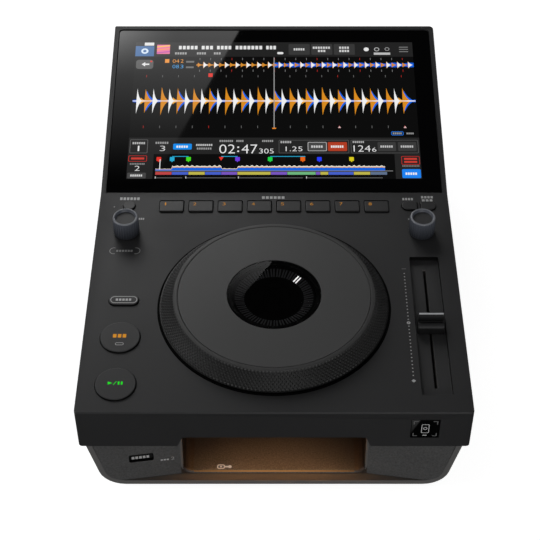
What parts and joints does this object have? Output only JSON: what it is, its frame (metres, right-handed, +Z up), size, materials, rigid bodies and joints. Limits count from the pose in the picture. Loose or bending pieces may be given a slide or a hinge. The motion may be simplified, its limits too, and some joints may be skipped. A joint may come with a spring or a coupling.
{
  "type": "tabletop dj player",
  "caption": "Tabletop DJ media player with jog wheel, tilted touch screen, pad row, tempo fader, push knobs and a lit USB bay.",
  "frame": {"origin": "on the surface the feet stand on, under the middle of the outline", "axes": "+X to the player's right, +Y to its back, +Z up"},
  "size_m": [0.252, 0.3684, 0.1189],
  "materials": {
    "case_plastic": "satin dark grey moulding",
    "base_plastic": "fine grained dark grey moulding",
    "key_plastic": "satin dark grey",
    "knob_rubber": "soft-touch, fluted",
    "jog_grip": "knurled",
    "jog_face": "fine satin",
    "black_plastic": "plain black",
    "white_plastic": "plain white",
    "red_plastic": "plain red",
    "screen_glass": "polished black glass",
    "clear_window": "smoked clear window",
    "tinned_steel": "plated sheet",
    "cage_metal": "perforated cage",
    "circuit_board": "solder mask",
    "foot_rubber": "moulded",
    "lamp_lens": "amber diffuser"
  },
  "bodies": {
    "player": {"bay_light": "lamp_lens", "bottom_case": "base_plastic", "browse_encoder": "tinned_steel", "control_board": "circuit_board", "digital_socket": "tinned_steel", "display_bracket": "cage_metal", "fader_body": "tinned_steel", "fader_tray": "black_plastic", "foot_front_left": "foot_rubber", "foot_front_right": "foot_rubber", "foot_rear_left": "foot_rubber", "foot_rear_right": "foot_rubber", "front_panel": "base_plastic", "jog_base": "black_plastic", "jog_bush": "white_plastic", "jog_display": "screen_glass", "jog_post": "black_plastic", "jog_sensor": "black_plastic", "jog_window": "clear_window", "lcd_module": "cage_metal", "loop_encoder": "tinned_steel", "main_board": "circuit_board", "network_socket": "tinned_steel", "phone_tile": "screen_glass", "phono_left": "white_plastic", "phono_right": "red_plastic", "power_inlet": "black_plastic", "power_supply": "cage_metal", "top_case": "case_plastic", "touch_glass": "screen_glass", "usb_socket": "tinned_steel"},
    "jog": {"jog_ring": "jog_grip", "jog_plate": "jog_face", "jog_code_disc": "black_plastic"},
    "tempo": {"tempo_cap": "key_plastic", "tempo_lever": "tinned_steel"},
    "loop_push": {"loop_plunger": "black_plastic"},
    "loop_turn": {"loop_knob": "knob_rubber", "loop_shaft": "tinned_steel"},
    "browse_push": {"browse_plunger": "black_plastic"},
    "browse_turn": {"browse_knob": "knob_rubber", "browse_shaft": "tinned_steel"},
    "back_button_body": {"back_button": "key_plastic"},
    "cue_button_body": {"cue_button": "key_plastic"},
    "delete_button_body": {"delete_button": "key_plastic"},
    "eject_button_body": {"eject_button": "key_plastic"},
    "hot_cue_pad_1_body": {"hot_cue_pad_1": "key_plastic"},
    "hot_cue_pad_2_body": {"hot_cue_pad_2": "key_plastic"},
    "hot_cue_pad_3_body": {"hot_cue_pad_3": "key_plastic"},
    "hot_cue_pad_4_body": {"hot_cue_pad_4": "key_plastic"},
    "hot_cue_pad_5_body": {"hot_cue_pad_5": "key_plastic"},
    "hot_cue_pad_6_body": {"hot_cue_pad_6": "key_plastic"},
    "hot_cue_pad_7_body": {"hot_cue_pad_7": "key_plastic"},
    "hot_cue_pad_8_body": {"hot_cue_pad_8": "key_plastic"},
    "play_button_body": {"play_button": "key_plastic"},
    "power_button_body": {"power_button": "key_plastic"},
    "shift_button_body": {"shift_button": "key_plastic"},
    "tag_button_body": {"tag_button": "key_plastic"}
  },
  "joints": [
    {"name": "jog_turn", "type": "hinge", "parent": "player", "child": "jog", "pos_m": [0, -0.09189, 0.0896], "axis": [0, 0, 1], "continuous": true},
    {"name": "tempo_slide", "type": "slide", "parent": "player", "child": "tempo", "axis": [0, 1, 0], "range_m": [-0.05, 0.05]},
    {"name": "loop_knob_push", "type": "slide", "parent": "player", "child": "loop_push", "axis": [0, 0, -1], "range_m": [0, 0.0005], "stiffness_N_per_m": 2000, "springref_m": -0.0006},
    {"name": "loop_knob_turn", "type": "hinge", "parent": "loop_push", "child": "loop_turn", "pos_m": [-0.1042, -0.02079, 0.0896], "axis": [0, 0, 1], "continuous": true},
    {"name": "browse_knob_push", "type": "slide", "parent": "player", "child": "browse_push", "axis": [0, 0, -1], "range_m": [0, 0.0005], "stiffness_N_per_m": 2000, "springref_m": -0.0006},
    {"name": "browse_knob_turn", "type": "hinge", "parent": "browse_push", "child": "browse_turn", "pos_m": [0.1042, -0.02079, 0.0896], "axis": [0, 0, 1], "continuous": true},
    {"name": "back_button_press", "type": "slide", "parent": "player", "child": "back_button_body", "axis": [0, 0, -1], "range_m": [0, 0.0008], "stiffness_N_per_m": 1200, "springref_m": -0.0006},
    {"name": "cue_button_press", "type": "slide", "parent": "player", "child": "cue_button_body", "axis": [0, 0, -1], "range_m": [0, 0.001], "stiffness_N_per_m": 1200, "springref_m": -0.0006},
    {"name": "delete_button_press", "type": "slide", "parent": "player", "child": "delete_button_body", "axis": [0, 0, -1], "range_m": [0, 0.0008], "stiffness_N_per_m": 1200, "springref_m": -0.0006},
    {"name": "eject_button_press", "type": "slide", "parent": "player", "child": "eject_button_body", "axis": [-0.1431, 0.9871, -0.0714], "range_m": [0, 0.0008], "stiffness_N_per_m": 1200, "springref_m": -0.0006},
    {"name": "hot_cue_pad_1_press", "type": "slide", "parent": "player", "child": "hot_cue_pad_1_body", "axis": [0, 0, -1], "range_m": [0, 0.0008], "stiffness_N_per_m": 1200, "springref_m": -0.0006},
    {"name": "hot_cue_pad_2_press", "type": "slide", "parent": "player", "child": "hot_cue_pad_2_body", "axis": [0, 0, -1], "range_m": [0, 0.0008], "stiffness_N_per_m": 1200, "springref_m": -0.0006},
    {"name": "hot_cue_pad_3_press", "type": "slide", "parent": "player", "child": "hot_cue_pad_3_body", "axis": [0, 0, -1], "range_m": [0, 0.0008], "stiffness_N_per_m": 1200, "springref_m": -0.0006},
    {"name": "hot_cue_pad_4_press", "type": "slide", "parent": "player", "child": "hot_cue_pad_4_body", "axis": [0, 0, -1], "range_m": [0, 0.0008], "stiffness_N_per_m": 1200, "springref_m": -0.0006},
    {"name": "hot_cue_pad_5_press", "type": "slide", "parent": "player", "child": "hot_cue_pad_5_body", "axis": [0, 0, -1], "range_m": [0, 0.0008], "stiffness_N_per_m": 1200, "springref_m": -0.0006},
    {"name": "hot_cue_pad_6_press", "type": "slide", "parent": "player", "child": "hot_cue_pad_6_body", "axis": [0, 0, -1], "range_m": [0, 0.0008], "stiffness_N_per_m": 1200, "springref_m": -0.0006},
    {"name": "hot_cue_pad_7_press", "type": "slide", "parent": "player", "child": "hot_cue_pad_7_body", "axis": [0, 0, -1], "range_m": [0, 0.0008], "stiffness_N_per_m": 1200, "springref_m": -0.0006},
    {"name": "hot_cue_pad_8_press", "type": "slide", "parent": "player", "child": "hot_cue_pad_8_body", "axis": [0, 0, -1], "range_m": [0, 0.0008], "stiffness_N_per_m": 1200, "springref_m": -0.0006},
    {"name": "play_button_press", "type": "slide", "parent": "player", "child": "play_button_body", "axis": [0, 0, -1], "range_m": [0, 0.001], "stiffness_N_per_m": 1200, "springref_m": -0.0006},
    {"name": "power_button_press", "type": "slide", "parent": "player", "child": "power_button_body", "axis": [0, -1, 0], "range_m": [0, 0.0015], "stiffness_N_per_m": 1200, "springref_m": -0.0006},
    {"name": "shift_button_press", "type": "slide", "parent": "player", "child": "shift_button_body", "axis": [0, 0, -1], "range_m": [0, 0.0008], "stiffness_N_per_m": 1200, "springref_m": -0.0006},
    {"name": "tag_button_press", "type": "slide", "parent": "player", "child": "tag_button_body", "axis": [0, 0, -1], "range_m": [0, 0.0008], "stiffness_N_per_m": 1200, "springref_m": -0.0006}
  ]
}
